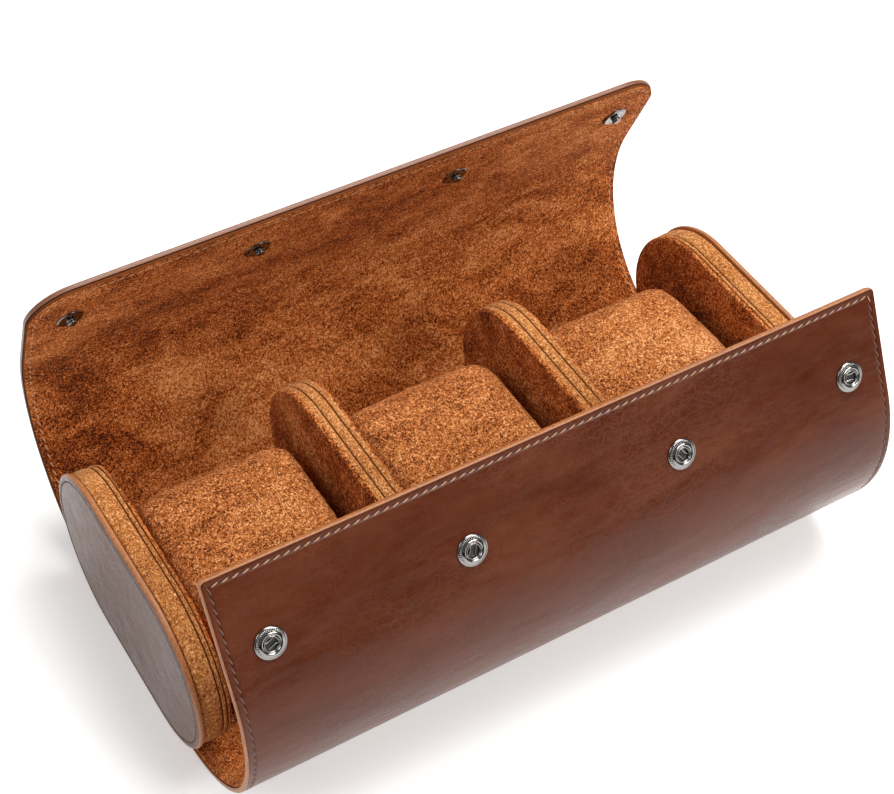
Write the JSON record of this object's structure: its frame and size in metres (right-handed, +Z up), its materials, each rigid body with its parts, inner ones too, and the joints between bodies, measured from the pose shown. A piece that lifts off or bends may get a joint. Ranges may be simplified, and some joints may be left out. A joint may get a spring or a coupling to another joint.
{
  "type": "watch roll case",
  "caption": "Stadium-section leather watch roll lying open: curled flap and front wall with snap fasteners, suede lining, dividers and lift-out cushions.",
  "frame": {"origin": "on the table, under the middle of the open case", "axes": "+X along the case to its right end cap, +Y towards the flap, +Z up"},
  "size_m": [0.236, 0.1562, 0.1103],
  "materials": {
    "leather": "smooth oiled",
    "suede": "brushed nap",
    "board": "plain card",
    "foam": "open cell",
    "socket_metal": "polished gunmetal",
    "stud_metal": "polished dark gunmetal"
  },
  "bodies": {
    "tray": {"back_leather": "leather", "back_board": "board", "back_lining": "suede", "cap_left_plate": "leather", "cap_left_rim": "suede", "cap_left_core": "board", "cap_left_face": "suede", "cap_right_plate": "leather", "cap_right_rim": "suede", "cap_right_core": "board", "cap_right_face": "suede", "divider_left_face_a": "suede", "divider_left_rim": "suede", "divider_left_core": "board", "divider_left_face_b": "suede", "divider_right_face_a": "suede", "divider_right_rim": "suede", "divider_right_core": "board", "divider_right_face_b": "suede"},
    "flap_1": {"flap_leather_1": "leather", "flap_lining_1": "suede"},
    "flap_2": {"flap_leather_2": "leather", "flap_lining_2": "suede"},
    "flap_3": {"flap_leather_3": "leather", "flap_lining_3": "suede"},
    "flap_4": {"flap_leather_4": "leather", "flap_lining_4": "suede", "flap_board_4": "board", "stud_1": "stud_metal", "stud_2": "stud_metal", "stud_3": "stud_metal", "stud_4": "stud_metal", "stud_washer_1": "stud_metal", "stud_washer_2": "stud_metal", "stud_washer_3": "stud_metal", "stud_washer_4": "stud_metal"},
    "wall_1": {"wall_leather_1": "leather", "wall_lining_1": "suede"},
    "wall_2": {"wall_leather_2": "leather", "wall_lining_2": "suede"},
    "wall_3": {"wall_leather_3": "leather", "wall_lining_3": "suede"},
    "wall_4": {"wall_leather_4": "leather", "wall_lining_4": "suede", "wall_board_4": "board", "socket_1": "socket_metal", "socket_2": "socket_metal", "socket_3": "socket_metal", "socket_4": "socket_metal", "socket_washer_1": "socket_metal", "socket_washer_2": "socket_metal", "socket_washer_3": "socket_metal", "socket_washer_4": "socket_metal"},
    "cushion_left": {"cushion_left_cover": "suede", "cushion_left_foam": "foam"},
    "cushion_middle": {"cushion_middle_cover": "suede", "cushion_middle_foam": "foam"},
    "cushion_right": {"cushion_right_cover": "suede", "cushion_right_foam": "foam"}
  },
  "joints": [
    {"name": "flap_flex_1", "type": "hinge", "parent": "tray", "child": "flap_1", "pos_m": [0, 0.02344, 0.003], "axis": [-1, 0, 0], "range_deg": [-19.18, 0]},
    {"name": "flap_flex_2", "type": "hinge", "parent": "flap_1", "child": "flap_2", "pos_m": [0, 0.04868, 0.00901], "axis": [-1, 0, 0], "range_deg": [-16.55, 0]},
    {"name": "flap_flex_3", "type": "hinge", "parent": "flap_2", "child": "flap_3", "pos_m": [0, 0.06789, 0.02727], "axis": [-1, 0, 0], "range_deg": [-15.95, 0]},
    {"name": "flap_flex_4", "type": "hinge", "parent": "flap_3", "child": "flap_4", "pos_m": [0, 0.07515, 0.05276], "axis": [-1, 0, 0], "range_deg": [-15.84, 0]},
    {"name": "wall_flex_1", "type": "hinge", "parent": "tray", "child": "wall_1", "pos_m": [0, -0.03599, 0.00351], "axis": [1, 0, 0], "range_deg": [-22.8, 0]},
    {"name": "wall_flex_2", "type": "hinge", "parent": "wall_1", "child": "wall_2", "pos_m": [0, -0.0529, 0.00961], "axis": [1, 0, 0], "range_deg": [-9.27, 0]},
    {"name": "wall_flex_3", "type": "hinge", "parent": "wall_2", "child": "wall_3", "pos_m": [0, -0.0667, 0.02243], "axis": [1, 0, 0], "range_deg": [-9.11, 0]},
    {"name": "wall_flex_4", "type": "hinge", "parent": "wall_3", "child": "wall_4", "pos_m": [0, -0.07407, 0.03909], "axis": [1, 0, 0], "range_deg": [-19.85, 0]},
    {"name": "cushion_left_lift", "type": "slide", "parent": "tray", "child": "cushion_left", "axis": [0, 0, 1], "range_m": [0, 0.07]},
    {"name": "cushion_middle_lift", "type": "slide", "parent": "tray", "child": "cushion_middle", "axis": [0, 0, 1], "range_m": [0, 0.07]},
    {"name": "cushion_right_lift", "type": "slide", "parent": "tray", "child": "cushion_right", "axis": [0, 0, 1], "range_m": [0, 0.07]}
  ],
  "couplings": [
    {"joint": "flap_flex_2", "follows": "flap_flex_1", "ratio": 0.86228},
    {"joint": "flap_flex_3", "follows": "flap_flex_1", "ratio": 0.831},
    {"joint": "flap_flex_4", "follows": "flap_flex_1", "ratio": 0.82527},
    {"joint": "wall_flex_2", "follows": "wall_flex_1", "ratio": 0.40614},
    {"joint": "wall_flex_3", "follows": "wall_flex_1", "ratio": 0.39912},
    {"joint": "wall_flex_4", "follows": "wall_flex_1", "ratio": 0.87018}
  ]
}
